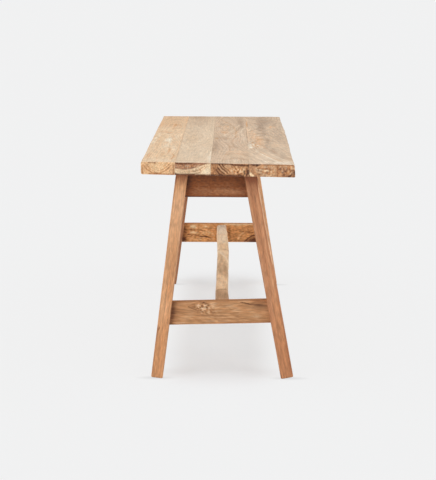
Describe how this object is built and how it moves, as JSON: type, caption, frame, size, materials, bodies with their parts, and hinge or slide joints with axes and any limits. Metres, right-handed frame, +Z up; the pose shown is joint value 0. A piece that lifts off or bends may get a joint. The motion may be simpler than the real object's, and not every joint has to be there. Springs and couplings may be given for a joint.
{
  "type": "patio bench",
  "caption": "Backless wooden patio bench with a plank seat, one natural edge, splayed legs, end rails and a branch-like stretcher.",
  "frame": {"origin": "on the floor under the middle of the seat", "axes": "+X along the seat to its right end, -Y towards the natural edge, +Z up"},
  "size_m": [1.2, 0.325, 0.46],
  "materials": {
    "golden_teak": "sawn and sanded, bare",
    "bleached_teak": "weathered pale, bare",
    "leg_teak": "sanded, bare",
    "rail_teak": "rough sawn, bare",
    "branch_wood": "peeled and sanded, bare",
    "dowel_wood": "turned",
    "zinc_steel": "zinc plated"
  },
  "bodies": {
    "root": {"back_plank": "golden_teak", "second_plank": "bleached_teak", "third_plank": "bleached_teak", "natural_edge_plank": "bleached_teak", "left_back_leg": "leg_teak", "left_front_leg": "leg_teak", "right_back_leg": "leg_teak", "right_front_leg": "leg_teak", "left_apron": "rail_teak", "right_apron": "rail_teak", "left_rail": "rail_teak", "right_rail": "rail_teak", "stretcher": "branch_wood", "batten": "golden_teak", "plank_dowels": "dowel_wood", "apron_screws": "zinc_steel", "batten_screws": "zinc_steel"}
  },
  "joints": []
}
